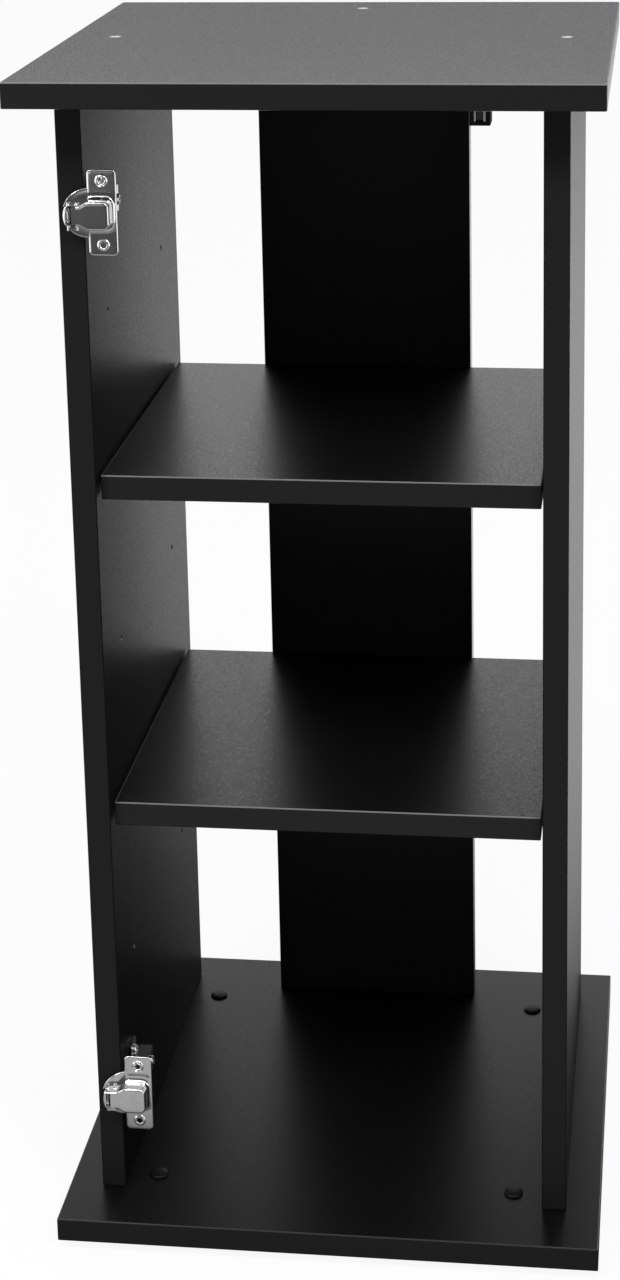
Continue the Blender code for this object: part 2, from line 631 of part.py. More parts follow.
def make_arm(name, frame, metal):
    """Channel over the mounting plate, and two cheeks under its web that carry the links' pins in front."""
    wall_z = ARM_HALF - ARM_CHEEK_T
    height = ARM_CHEEK_LOW + ARM_CHEEK_T
    rear, front = Vector(ARM_PIVOT_REAR), Vector(ARM_PIVOT_FRONT)
    shape = block((ARM_CLEAR, ARM_CHANNEL_START, -ARM_HALF), (ARM_OUT, ARM_BACK, ARM_HALF))
    arm = add(name, shape, metal, parent=frame)
    low, high = (-PAST, ARM_CHANNEL_START - PAST, -wall_z), (ARM_OUT - ARM_WEB_T, ARM_BACK + PAST, wall_z)
    combine(arm, f"{name}_channel", block(low, high))
    slope = math.degrees(math.atan2(front.y - rear.y, front.x - rear.x))
    lap = ARM_OUT - ARM_WEB_T / 2
    outline = [(ARM_CLEAR, ARM_LAP_END), (rear.x - ARM_EYE_R, rear.y + 2 * ARM_EYE_R)]
    outline += arc(rear, ARM_EYE_R, 180, slope + 270, 5)
    outline += arc(front, ARM_EYE_R, slope - 90, 30, 8)
    outline += [(lap, ARM_NOSE_END), (lap, ARM_LAP_END)]
    cheeks = merged(prism(outline, ARM_CHEEK_LOW, height), prism(outline, -height, -ARM_CHEEK_LOW))
    combine(arm, f"{name}_cheeks", cheeks, "UNION")
    holes = [placed(rod(HINGE_PIN_R + FIT, -CUP_R, CUP_R), (*p, 0.0)) for p in (rear, front)]
    combine(arm, f"{name}_pin_holes", merged(*holes))
    holes = []
    for back in (SIDE_SCREW_BACK, FIXING_SCREW_BACK):
        hole = rod(ARM_SCREW_R + FIT, -2 * ARM_WEB_T, PAST)
        holes.append(placed(hole, (ARM_OUT, back, 0.0), (90, "Y")))
    combine(arm, f"{name}_screw_holes", merged(*holes))
    for end, spot in (("rear", rear), ("front", front)):
        shape = placed(rod(HINGE_PIN_R, -height - FIT, height + FIT), (*spot, 0.0))
        add(f"{name}_pin_{end}", shape, metal, parent=frame)


def make_plate(name, frame, metal):
    """Cross-shaped plate on the side panel with a raised rail that the arm is screwed to."""
    rail_top = ARM_OUT - ARM_WEB_T - FIT
    low, high = (FIT, PLATE_WING_FRONT, -PLATE_WING_HALF), (PLATE_T, PLATE_WING_REAR, PLATE_WING_HALF)
    plate = add(f"{name}_mounting_plate", block(low, high), metal, parent=frame)
    low, high = (2 * FIT, PLATE_BODY_FRONT, -PLATE_BODY_HALF), (rail_top, PLATE_BODY_REAR, PLATE_BODY_HALF)
    combine(plate, f"{name}_rail", block(low, high), "UNION")
    holes = []
    for offset in (-PLATE_SCREW_Z, PLATE_SCREW_Z):
        hole = rod(PLATE_SCREW_R + FIT, -PAST, PLATE_T + PAST)
        holes.append(placed(hole, (0.0, PLATE_SCREW_BACK, offset), (90, "Y")))
    for back in (SIDE_SCREW_BACK, FIXING_SCREW_BACK):
        hole = rod(ARM_SCREW_R + FIT, -ARM_SCREW_L - FIT, PAST)
        holes.append(placed(hole, (ARM_OUT, back, 0.0), (90, "Y")))
    combine(plate, f"{name}_plate_holes", merged(*holes))


def make_hinge_screws(name, frame, metal):
    """Plate screws into the side panel, and the two screws of the arm into the plate's rail."""
    plate = (PLATE_SCREW_HEAD_R, PLATE_SCREW_HEAD_H, PLATE_SCREW_R, PLATE_SCREW_L, PLATE_T)
    fixing = (FIXING_HEAD_R, FIXING_HEAD_H, ARM_SCREW_R, ARM_SCREW_L, ARM_OUT)
    adjust = (SIDE_HEAD_R, SIDE_HEAD_H, ARM_SCREW_R, ARM_SCREW_L, ARM_OUT)
    spots = {
        "plate_screw_top": (plate, PLATE_SCREW_BACK, PLATE_SCREW_Z),
        "plate_screw_bottom": (plate, PLATE_SCREW_BACK, -PLATE_SCREW_Z),
        "fixing_screw": (fixing, FIXING_SCREW_BACK, 0.0),
        "side_screw": (adjust, SIDE_SCREW_BACK, 0.0),
    }
    for kind, ((head_r, head_h, shank_r, length, out), back, z) in spots.items():
        where, turn = (out + FIT, back, z), (90, "Y")
        shape = placed(button(head_r, head_h, shank_r, length - FIT), where, turn)
        screw = add(f"{name}_{kind}", shape, metal, parent=frame)
        cut = cross_recess(RECESS_SPAN, RECESS_WIDTH, head_h, head_h * 0.7)
        combine(screw, f"{name}_{kind}_recess", placed(cut, where, turn))


def make_hinges(nickel, zinc):
    for level, height in hinge_levels().items():
        name = f"{level}_hinge"
        frame = bpy.data.objects.new(f"{name}_frame", None)
        bpy.context.collection.objects.link(frame)
        frame.location = (-SIDE_IN, SIDE_FRONT, height)
        make_plate(name, frame, nickel)
        make_arm(f"{name}_arm", frame, nickel)
        make_links(name, frame, nickel)
        make_cup(f"{name}_cup", frame, nickel)
        make_cup_pin(f"{name}_cup_pin", frame, zinc)
        make_hinge_screws(name, frame, zinc)


def main():
    for old in list(bpy.data.objects):
        bpy.data.objects.remove(old)
    make_boards("black melamine")
    make_shelves("black melamine", "bright nickel")
    make_board_screws("zinc plated steel")
    make_feet("black plastic", "dark grey plastic")
    make_catch("black plastic", "zinc plated steel", "dark ferrite")
    make_hinges("bright nickel", "zinc plated steel")


main()
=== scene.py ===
import json
import math
import bmesh
import bpy
import mathutils
import numpy as np
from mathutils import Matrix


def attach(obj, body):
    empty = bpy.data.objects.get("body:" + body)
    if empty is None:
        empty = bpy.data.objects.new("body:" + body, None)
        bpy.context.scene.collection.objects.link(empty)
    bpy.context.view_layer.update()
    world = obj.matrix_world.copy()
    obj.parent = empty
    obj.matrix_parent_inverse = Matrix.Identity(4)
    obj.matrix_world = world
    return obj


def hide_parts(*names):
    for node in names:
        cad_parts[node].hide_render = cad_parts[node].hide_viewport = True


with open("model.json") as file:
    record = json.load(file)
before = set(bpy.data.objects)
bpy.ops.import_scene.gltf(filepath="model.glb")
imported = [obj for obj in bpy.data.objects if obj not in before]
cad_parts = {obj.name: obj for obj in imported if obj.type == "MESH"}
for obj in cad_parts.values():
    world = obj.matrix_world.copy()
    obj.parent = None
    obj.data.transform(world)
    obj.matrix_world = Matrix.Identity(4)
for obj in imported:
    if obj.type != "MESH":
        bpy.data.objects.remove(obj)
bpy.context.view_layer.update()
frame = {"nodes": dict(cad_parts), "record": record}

nodes = frame["nodes"]
scene = bpy.context.scene
scene.view_settings.view_transform = "Standard"
mm = 0.001
crease = math.radians(38)                            # new pieces shade sharp at edges steeper than this
arcSteps = 24                                        # points of a rounded corner
print("frame loaded:", len(nodes), "nodes")

# camera, fitted to the photograph's straight edges
cameraSettings = {
    "place": (0.2363, -1.8400, 1.1476),              # metres from the middle of the footprint
    "right": (0.992705, 0.119402, -0.016732),        # directions of the picture's right and up
    "up": (-0.013349, 0.246769, 0.968982),
    "focalPixels": 2569.9, "frame": (620, 1280), "shift": (-0.0323, -0.26),
    "sensorMm": 36.0, "farthest": 60.0,
}


def makeCamera(s):
    data = bpy.data.cameras.new("photoCamera")
    data.sensor_width = s["sensorMm"]
    data.lens = s["focalPixels"] * s["sensorMm"] / max(s["frame"])
    data.shift_x, data.shift_y = s["shift"]
    data.clip_end = s["farthest"]
    camera = bpy.data.objects.new("photoCamera", data)
    scene.collection.objects.link(camera)
    right, up = np.array(s["right"]), np.array(s["up"])
    matrix = np.eye(4)
    matrix[:3, 0], matrix[:3, 1], matrix[:3, 2] = right, up, np.cross(right, up)
    matrix[:3, 3] = s["place"]
    camera.matrix_world = mathutils.Matrix(matrix.tolist())
    scene.camera = camera


makeCamera(cameraSettings)


# material helpers
def linear(hexCode, alpha=1.0):                      # sRGB hex to linear, with the standard's own constants
    c = np.array([int(hexCode[k:k + 2], 16) for k in (1, 3, 5)]) / 255.0
    c = np.where(c <= 0.04045, c / 12.92, ((c + 0.055) / 1.055) ** 2.4)
    return (*c.tolist(), alpha)


def perMetre(sizeMm):                                # texture scale whose feature is about this many millimetres
    return 1000.0 / sizeMm


def addNode(tree, kind, settings, links=()):         # settings are sockets by name or number, or node properties
    node = tree.nodes.new(kind)
    for key, value in settings.items():
        if isinstance(key, str) and hasattr(node, key):
            setattr(node, key, value)
        else:
            node.inputs[key].default_value = value
    for key, socket in dict(links).items():
        tree.links.new(socket, node.inputs[key])
    return node


def startMaterial(name, settings):                   # settings are the shader's own constants
    made = bpy.data.materials.new(name)
    made.use_nodes = True
    tree = made.node_tree
    shader = tree.nodes["Principled BSDF"]
    for key, value in settings.items():
        shader.inputs[key].default_value = value
    place = addNode(tree, "ShaderNodeTexCoord", {}).outputs["Object"]
    return made, tree, shader, place


def linkSurface(tree, shader, s, colour, rough, height):             # colour, roughness and bump to the shader
    bump = addNode(tree, "ShaderNodeBump", {"Strength": s["bump"], "Distance": s["bumpMm"] * mm}, {"Height": height})
    tree.links.new(colour, shader.inputs["Base Color"])
    tree.links.new(rough, shader.inputs["Roughness"])
    tree.links.new(bump.outputs["Normal"], shader.inputs["Normal"])


# Black melamine-faced board: resin paper pressed on chipboard with a finely pearled plate, banded edges.
# The pearl blurs reflections to a satin sheen that is strong at a flat angle; arrises that look up get a painted
# highlight, a light colour.
boardSettings = {
    # the arris colour is a painted highlight, laid on arrises that look up
    "face": "#0b0b0b", "faceDark": "#080808", "band": "#1a1a1a", "arris": "#7c7c7c",
    "roughFace": (0.27, 0.40), "roughBand": (0.28, 0.34), "roughArris": 0.24, "ior": 1.25,
    "pearlMm": 1.7,                                  # real pearl is about 0.4 mm, drawn coarser so that it shows
    "pearlSpan": (0.3, 0.7), "cloudMm": 55.0, "streakMm": (260.0, 2.4), "bump": 0.22, "bumpMm": 0.2,
    "thick": 2, "along": 0,                          # axis of the board's thickness, axis that its band runs along
    "bandBelow": 0.35, "arrisBelow": 0.985,          # parts of the normal that tell the bands and the arrises
    "upwardFrom": (0.15, 0.5), "upwardLeast": 0.02,  # painted highlight on arrises, stronger where they look up
}
topSettings = {**boardSettings, "roughFace": (0.19, 0.30), "ior": 1.235}
# the base's painted arris highlight is dimmer
baseSettings = {**boardSettings, "arris": "#3c3c3c"}
# side boards: the same melamine with darker faces, painted shade
sideSettings = {**boardSettings, "face": "#090909", "faceDark": "#070707", "band": "#1c1c1c",
                "roughFace": (0.35, 0.47), "ior": 1.12, "thick": 0, "along": 2}
# back board: the same melamine with much lighter faces, painted light where the top shades it
backSettings = {**boardSettings, "face": "#1b1b1b", "faceDark": "#161616", "thick": 1, "along": 2}


def boardMaterial(name, s):
    made, tree, shader, place = startMaterial(name, {"IOR": s["ior"]})
    pearl = addNode(tree, "ShaderNodeTexNoise", {"Scale": perMetre(s["pearlMm"]), "Detail": 2.0, "Roughness": 0.6},
                    {"Vector": place}).outputs["Fac"]
    cloud = addNode(tree, "ShaderNodeTexNoise", {"Scale": perMetre(s["cloudMm"]), "Detail": 3.0},
                    {"Vector": place}).outputs["Fac"]
    stretch = [perMetre(s["streakMm"][1])] * 3
    stretch[s["along"]] = perMetre(s["streakMm"][0])
    mapped = addNode(tree, "ShaderNodeMapping", {"Scale": stretch}, {"Vector": place}).outputs["Vector"]
    streak = addNode(tree, "ShaderNodeTexNoise", {"Scale": 1.0, "Detail": 2.0}, {"Vector": mapped}).outputs["Fac"]
    # banded edges don't look along the board's thickness, and arrises look along no axis
    normal = addNode(tree, "ShaderNodeNewGeometry", {}).outputs["Normal"]
    size = addNode(tree, "ShaderNodeVectorMath", {"operation": "ABSOLUTE"}, {0: normal}).outputs["Vector"]
    parts = addNode(tree, "ShaderNodeSeparateXYZ", {}, {"Vector": size}).outputs
    band = addNode(tree, "ShaderNodeMath", {"operation": "LESS_THAN", 1: s["bandBelow"]},
                   {0: parts[s["thick"]]}).outputs[0]
    most = addNode(tree, "ShaderNodeMath", {"operation": "MAXIMUM"}, {0: parts[0], 1: parts[1]}).outputs[0]
    most = addNode(tree, "ShaderNodeMath", {"operation": "MAXIMUM"}, {0: most, 1: parts[2]}).outputs[0]
    arris = addNode(tree, "ShaderNodeMath", {"operation": "LESS_THAN", 1: s["arrisBelow"]}, {0: most}).outputs[0]
    # arrises that look up get the painted highlight colour
    rise = addNode(tree, "ShaderNodeSeparateXYZ", {}, {"Vector": normal}).outputs["Z"]
    upward = addNode(tree, "ShaderNodeMapRange",
                     {"From Min": s["upwardFrom"][0], "From Max": s["upwardFrom"][1], "To Min": s["upwardLeast"]},
                     {"Value": rise}).outputs[0]
    paintedHighlightMask = addNode(tree, "ShaderNodeMath", {"operation": "MULTIPLY"}, {0: arris, 1: upward}).outputs[0]
    # colour: clouded faces, then bands, then a painted highlight on arrises that look up
    face = addNode(tree, "ShaderNodeMix", {"data_type": "RGBA", 6: linear(s["faceDark"]), 7: linear(s["face"])},
                   {0: cloud}).outputs[2]
    banded = addNode(tree, "ShaderNodeMix", {"data_type": "RGBA", 7: linear(s["band"])}, {0: band, 6: face}).outputs[2]
    paintedHighlightColour = addNode(tree, "ShaderNodeMix", {"data_type": "RGBA", 7: linear(s["arris"])},
                     {0: paintedHighlightMask, 6: banded}).outputs[2]
    # roughness follows the pearl on faces and the streaks on bands
    faceRough = addNode(tree, "ShaderNodeMapRange",
                        {"From Min": s["pearlSpan"][0], "From Max": s["pearlSpan"][1],
                         "To Min": s["roughFace"][0], "To Max": s["roughFace"][1]}, {"Value": pearl}).outputs[0]
    bandRough = addNode(tree, "ShaderNodeMapRange", {"To Min": s["roughBand"][0], "To Max": s["roughBand"][1]},
                        {"Value": streak}).outputs[0]
    rough = addNode(tree, "ShaderNodeMix", {"data_type": "FLOAT"}, {0: band, 2: faceRough, 3: bandRough}).outputs[0]
    rough = addNode(tree, "ShaderNodeMix", {"data_type": "FLOAT", 3: s["roughArris"]}, {0: arris, 2: rough}).outputs[0]
    height = addNode(tree, "ShaderNodeMix", {"data_type": "FLOAT"}, {0: band, 2: pearl, 3: streak}).outputs[0]
    linkSurface(tree, shader, s, paintedHighlightColour, rough, height)
    return made


# Bright nickel: plated over pressed steel sheet, so it mirrors sharply with slight drawing marks.
nickelSettings = {"light": "#d4d4d4", "dark": "#bcbcbc", "rough": (0.08, 0.16), "spotMm": 5.0,
                  "scratchMm": (9.0, 0.5), "bump": 0.05, "bumpMm": 0.05}
# Bright zinc: plated turned steel of screws and pole plates, a little greyer and more blurred than nickel.
zincSettings = {"light": "#cfcfd0", "dark": "#a8a8a9", "rough": (0.18, 0.30), "spotMm": 2.5,
                "scratchMm": (3.0, 0.3), "bump": 0.06, "bumpMm": 0.05}
# The same zinc on the top's screws, scuffed by the driver, so it glints in spots.
drivenSettings = {**zincSettings, "rough": (0.30, 0.46), "bump": 0.5}


def metalMaterial(name, s):
    made, tree, shader, place = startMaterial(name, {"Metallic": 1.0})
    spots = addNode(tree, "ShaderNodeTexNoise", {"Scale": perMetre(s["spotMm"]), "Detail": 4.0},
                    {"Vector": place}).outputs["Fac"]
    length, width = perMetre(s["scratchMm"][0]), perMetre(s["scratchMm"][1])
    mapped = addNode(tree, "ShaderNodeMapping", {"Scale": (width, width, length)}, {"Vector": place}).outputs["Vector"]
    marks = addNode(tree, "ShaderNodeTexNoise", {"Scale": 1.0, "Detail": 3.0}, {"Vector": mapped}).outputs["Fac"]
    tone = addNode(tree, "ShaderNodeMix", {"data_type": "RGBA", 6: linear(s["dark"]), 7: linear(s["light"])},
                   {0: spots}).outputs[2]
    rough = addNode(tree, "ShaderNodeMapRange", {"To Min": s["rough"][0], "To Max": s["rough"][1]},
                    {"Value": marks}).outputs[0]
    linkSurface(tree, shader, s, tone, rough, marks)
    return made


# Moulded ABS of the catch and the sleeve caps: spark-eroded grain, so black with a soft grey sheen.
absSettings = {"light": "#111111", "dark": "#0b0b0b", "rough": (0.38, 0.52), "grainMm": 0.9,
               "bump": 0.18, "bumpMm": 0.1, "ior": 1.22}
# Moulded nylon of the feet: dark grey, duller than the ABS.
nylonSettings = {"light": "#3d3d3e", "dark": "#303031", "rough": (0.50, 0.64), "grainMm": 1.2,
                 "bump": 0.2, "bumpMm": 0.1, "ior": 1.5}
# Sintered ferrite of the magnet: charcoal, granular and almost without shine.
ferriteSettings = {"light": "#37373a", "dark": "#232326", "rough": (0.55, 0.75), "grainMm": 0.6,
                   "bump": 0.35, "bumpMm": 0.1, "ior": 1.5}


def grainMaterial(name, s):
    made, tree, shader, place = startMaterial(name, {"IOR": s["ior"]})
    grain = addNode(tree, "ShaderNodeTexNoise", {"Scale": perMetre(s["grainMm"]), "Detail": 3.0},
                    {"Vector": place}).outputs["Fac"]
    tone = addNode(tree, "ShaderNodeMix", {"data_type": "RGBA", 6: linear(s["dark"]), 7: linear(s["light"])},
                   {0: grain}).outputs[2]
    rough = addNode(tree, "ShaderNodeMapRange", {"To Min": s["rough"][0], "To Max": s["rough"][1]},
                    {"Value": grain}).outputs[0]
    linkSurface(tree, shader, s, tone, rough, grain)
    return made


flatBoard = boardMaterial("black melamine, lying board", boardSettings)
topBoard = boardMaterial("black melamine, top board", topSettings)
baseBoard = boardMaterial("black melamine, base board", baseSettings)
sideBoard = boardMaterial("black melamine, side board", sideSettings)
backBoard = boardMaterial("black melamine, back board", backSettings)
nickel = metalMaterial("bright nickel plate", nickelSettings)
zinc = metalMaterial("bright zinc plate", zincSettings)
drivenZinc = metalMaterial("bright zinc plate, marked by the driver", drivenSettings)
blackAbs = grainMaterial("black moulded ABS", absSettings)
greyNylon = grainMaterial("dark grey nylon", nylonSettings)
ferrite = grainMaterial("sintered ferrite", ferriteSettings)
print("materials made")

# CAD nodes: their finish by name or by the record's slot, and an arris on the small ones
nodeSettings = {
    "board": {"upper_shelf": flatBoard, "lower_shelf": flatBoard, "top_panel": topBoard, "base_panel": baseBoard,
              "left_side_panel": sideBoard, "right_side_panel": sideBoard, "back_panel": backBoard},
    "driven": {f"top_screw_{side}": drivenZinc for side in ("left", "right", "back")},
    "slots": {"nickel": nickel, "pin_nickel": nickel, "zinc": zinc, "black_plastic": blackAbs,
              "foot_plastic": greyNylon, "ferrite": ferrite},
    "arrisMm": {"mounting_plate": 0.4, "arm": 0.35}, "otherArrisMm": 0.18,
    "arrisSteps": 2, "arrisDegrees": 40, "weldMm": 0.01,
}


def dressNodes(s):
    slotOf = {p["node"]: p["material_slot"] for p in frame["record"]["subparts"]}
    for name, node in nodes.items():
        finish = s["board"].get(name) or s["driven"].get(name) or s["slots"][slotOf[name]]
        node.data.materials.clear()
        node.data.materials.append(finish)
        if name in s["board"]:
            continue
        node.data.shade_smooth()
        weld = node.modifiers.new("weld", "WELD")
        weld.merge_threshold = s["weldMm"] * mm
        bevel = node.modifiers.new("arris", "BEVEL")
        bevel.width = s["arrisMm"].get(name.split("_hinge_")[-1], s["otherArrisMm"]) * mm
        bevel.segments = s["arrisSteps"]
        bevel.limit_method = "ANGLE"
        bevel.angle_limit = math.radians(s["arrisDegrees"])
        bevel.harden_normals = False
        node.modifiers.new("flat faces stay flat", "WEIGHTED_NORMAL").keep_sharp = True


dressNodes(nodeSettings)
print("CAD nodes dressed")


# mesh helpers
def ringFaces(rings, steps):                         # quads between neighbouring rings of a closed path
    k, n = np.meshgrid(np.arange(rings - 1), np.arange(steps), indexing="ij")
    m = (n + 1) % steps
    return np.stack([k * steps + n, k * steps + m, (k + 1) * steps + m, (k + 1) * steps + n], -1).reshape(-1, 4)


def ringPiece(name, points, rings, finish=None):     # a solid from rings of points, closed by its first and last ring
    steps = len(points) // rings
    caps = [list(range(steps)), list(range((rings - 1) * steps, rings * steps))]
    mesh = bpy.data.meshes.new(name)
    mesh.from_pydata(points.tolist(), [], ringFaces(rings, steps).tolist() + caps)
    shape = bmesh.new()
    shape.from_mesh(mesh)
    bmesh.ops.recalc_face_normals(shape, faces=shape.faces)
    shape.to_mesh(mesh)
    shape.free()
    mesh.shade_smooth()
    mesh.set_sharp_from_angle(angle=crease)
    if finish:
        mesh.materials.append(finish)
    piece = bpy.data.objects.new(name, mesh)
    scene.collection.objects.link(piece)
    return piece


# A turned solid: a profile of radius and height carried round a vertical axis, so point (k, n) is the
# profile's k-th radius at the n-th angle, at the k-th height.
def turnedPiece(name, profile, steps, centre, finish=None):
    r, h = np.array(profile).T
    a = np.linspace(0, 2 * np.pi, steps, endpoint=False)
    p = np.stack([np.outer(r, np.cos(a)), np.outer(r, np.sin(a)), np.outer(h, np.ones(steps))], -1)
    return ringPiece(name, p.reshape(-1, 3) * mm + np.array(centre), len(profile), finish)


# A pressed solid: an outline in the hinge's front plane carried along its depth. Ring k is the outline drawn
# in by the k-th inset, at the k-th depth plus the slope times each point's inboard place.
def pressedPiece(name, outlineAt, profile, slope=0.0):
    flat = np.stack([outlineAt(inset) for inset, depth in profile])
    depth = np.array([depth for inset, depth in profile])[:, None] + slope * flat[..., 0]
    p = np.stack([flat[..., 0], depth, flat[..., 1]], -1)
    return ringPiece(name, p.reshape(-1, 3) * mm, len(profile))


# A pressed block: a rectangle of two inboard places and a half height, carried between two depths.
def boxPiece(name, xs, ys, half):
    outline = np.array([(xs[1], -half), (xs[1], half), (xs[0], half), (xs[0], -half)], float)
    return pressedPiece(name, lambda inset: outline, [(0.0, ys[0]), (0.0, ys[1])])


# A pressed round: a circle whose radius follows a profile of radius and depth about a level axis.
def roundPiece(name, centre, profile, steps, slope=0.0):
    ring = arcPoints((0.0, 0.0), 1.0, 0, 360, steps + 1)[:-1]
    return pressedPiece(name, lambda radius: np.array(centre) + radius * ring, profile, slope)


def evenly(path, steps):                             # a closed path resampled to equal steps along its length
    closed = np.vstack([path, path[:1]])
    run = np.concatenate([[0], np.cumsum(np.linalg.norm(np.diff(closed, axis=0), axis=1))])
    t = np.linspace(0, run[-1], steps, endpoint=False)
    return np.stack([np.interp(t, run, closed[:, 0]), np.interp(t, run, closed[:, 1])], 1)


def arcPoints(centre, radius, start, end, steps=arcSteps):           # points of an arc, angles in degrees
    a = np.radians(np.linspace(start, end, steps))
    return np.array(centre) + radius * np.stack([np.cos(a), np.sin(a)], 1)


def combine(piece, tool, operation):                 # joins or cuts a solid and keeps only the result
    step = piece.modifiers.new("step", "BOOLEAN")
    step.operation, step.solver, step.object = operation, "EXACT", tool
    bpy.context.view_layer.update()
    mesh = bpy.data.meshes.new_from_object(piece.evaluated_get(bpy.context.evaluated_depsgraph_get()))
    piece.modifiers.clear()
    piece.data = mesh
    bpy.data.objects.remove(tool)


def tidyMesh(mesh, nearest):                         # joins points that the cuts left closer than this, in metres
    shape = bmesh.new()
    shape.from_mesh(mesh)
    bmesh.ops.triangulate(shape, faces=shape.faces)
    bmesh.ops.remove_doubles(shape, verts=shape.verts, dist=nearest)
    bmesh.ops.dissolve_degenerate(shape, dist=nearest, edges=shape.edges)
    bmesh.ops.recalc_face_normals(shape, faces=shape.faces)
    shape.to_mesh(mesh)
    shape.free()


# Hinge cups: pressed sheet with a flange, sloping round wings and a deep pocket. Millimetres from the side
# panel's front inner edge: first inboard, then back, and up from the hinge's middle.
cupSettings = {
    "corner": (-0.157, -0.154), "levels": {"upper": 0.7798, "lower": 0.1065},        # metres
    "centre": 3.5, "radius": 17.5,                   # the cup's round, which the wings follow
    # pocket: right side, half heights of box and neck, corner, where the neck starts and ends, and its round end
    "right": 20.3, "half": 10.3, "neck": 7.1, "bigCorner": 4.4, "leastCorner": 1.0,
    "necking": (5.5, -2.0), "endRadius": 15.9, "outlineSteps": 220, "softenings": 8,
    # flange: left side, right side, half height and corner; screw holes: inboard place and height
    "flange": (2.7, 23.3, 30.25, 3.2), "leastRound": 0.5, "holes": (13.0, 22.5),
    # inset, or radius on round pieces, and depth of each surface
    "pocketProfile": [(6.4, -0.6), (3.5, -0.6), (0.0, -0.6), (0.0, -4.4), (0.15, -8.0), (0.3, -12.0),
                      (0.38, -12.5), (0.6, -12.95), (1.0, -13.3), (1.45, -13.45), (1.9, -13.5), (3.2, -13.5),
                      (4.8, -13.5), (6.4, -13.5)],
    "flareProfile": [(-5.2, -1.62), (-4.2, -1.74), (-3.2, -1.86), (-2.3, -2.02), (-1.6, -2.24), (-1.05, -2.55),
                     (-0.65, -3.0), (-0.38, -3.6), (-0.15, -4.6), (0.2, -6.0)],
    "flareEdge": [(0.9, -8.0), (0.9, 2.0)],
    "pocketRoom": [(0.7, 1.5), (0.8, -4.0), (1.0, -8.0), (1.2, -11.6), (1.5, -12.3), (2.2, -12.7)],
    "wingSlope": 0.26,
    "wingProfile": [(0.7, -1.3), (0.2, -1.4), (0.0, -1.7), (0.0, -1.85), (0.12, -2.15), (0.45, -2.4), (0.9, -2.5),
                    (2.2, -2.55), (4.0, -2.65), (6.5, -2.9), (9.5, -3.4)],
    "wingRoom": [(0.7, 3.0), (0.7, -1.45), (2.4, -1.55), (4.2, -1.7), (6.7, -2.0), (9.7, -2.5)],
    "flangeProfile": [(9.6, -0.5), (6.0, -0.5), (1.9, -0.5), (0.8, -0.5), (0.25, -0.58), (0.0, -0.8), (0.05, -1.05),
                      (0.25, -1.32), (0.6, -1.54), (1.1, -1.66), (1.8, -1.7), (3.5, -1.7), (5.5, -1.7), (7.5, -1.7),
                      (9.6, -1.7)],
    "boss": [(4.7, -1.4), (4.45, -1.75), (4.0, -2.15), (3.45, -2.45), (2.95, -2.55), (2.5, -2.42), (2.2, -2.1)],
    "sink": [(2.05, -4.0), (2.05, -1.7), (4.0, -0.3), (4.0, 0.6)],
    # blocks cut out: two inboard places, two depths and a half height
    "linkWay": ((-17.0, -10.7), (-10.0, 1.4), 5.1), "slot": ((-9.4, -6.2), (-15.0, -11.5), 6.3),
    "fold": ((-6.2, -2.9), (-15.0, -13.22), 9.0), "rightHalf": ((3.4, 40.0), (-30.0, 10.0), 40.0),
    "pins": [(-9.1, -8.2), (-3.5, -7.7)],
    "pinHead": [(1.45, -0.8), (1.45, 0.1), (1.35, 0.32), (1.0, 0.55), (0.5, 0.66), (0.1, 0.68)],
    "wingSteps": 180, "holeSteps": 48, "pinSteps": 24, "nearestMm": 0.004,
}


# Front view of the pocket: a rounded box whose sides ease in to a neck, closed by an arc about the cup's
# centre, all drawn in by the inset, and its corners softened by a running mean.
def pocketOutline(s, inset):
    half, neck, end = s["half"] - inset, s["neck"] - inset, s["endRadius"] - inset
    big, t = max(s["bigCorner"] - inset, s["leastCorner"]), np.linspace(0, 1, arcSteps)
    ease = t * t * (3 - 2 * t)
    start, stop = s["necking"]
    sweep = np.stack([start + (stop - start) * t, half + (neck - half) * ease], 1)
    turn = math.degrees(math.asin(neck / end))
    corner = arcPoints((s["right"] - inset - big, half - big), big, 0, 90)
    upper = np.vstack([corner, sweep, arcPoints((s["centre"], 0.0), end, 180 - turn, 180)])
    path = evenly(np.vstack([upper, (upper * [1, -1])[::-1]]), s["outlineSteps"])
    for _ in range(s["softenings"]):
        path = (np.roll(path, 1, 0) + 2 * path + np.roll(path, -1, 0)) / 4
    return path


# Front view of the flange: a rectangle with round corners, drawn in by the inset.
def flangeOutline(s, inset):
    x0, x1, half, corner = s["flange"]
    x0, x1, half, r = x0 + inset, x1 - inset, half - inset, max(corner - inset, s["leastRound"])
    return np.vstack([arcPoints((x1 - r, half - r), r, 0, 90), arcPoints((x0 + r, half - r), r, 90, 180),
                      arcPoints((x0 + r, r - half), r, 180, 270), arcPoints((x1 - r, r - half), r, 270, 360)])


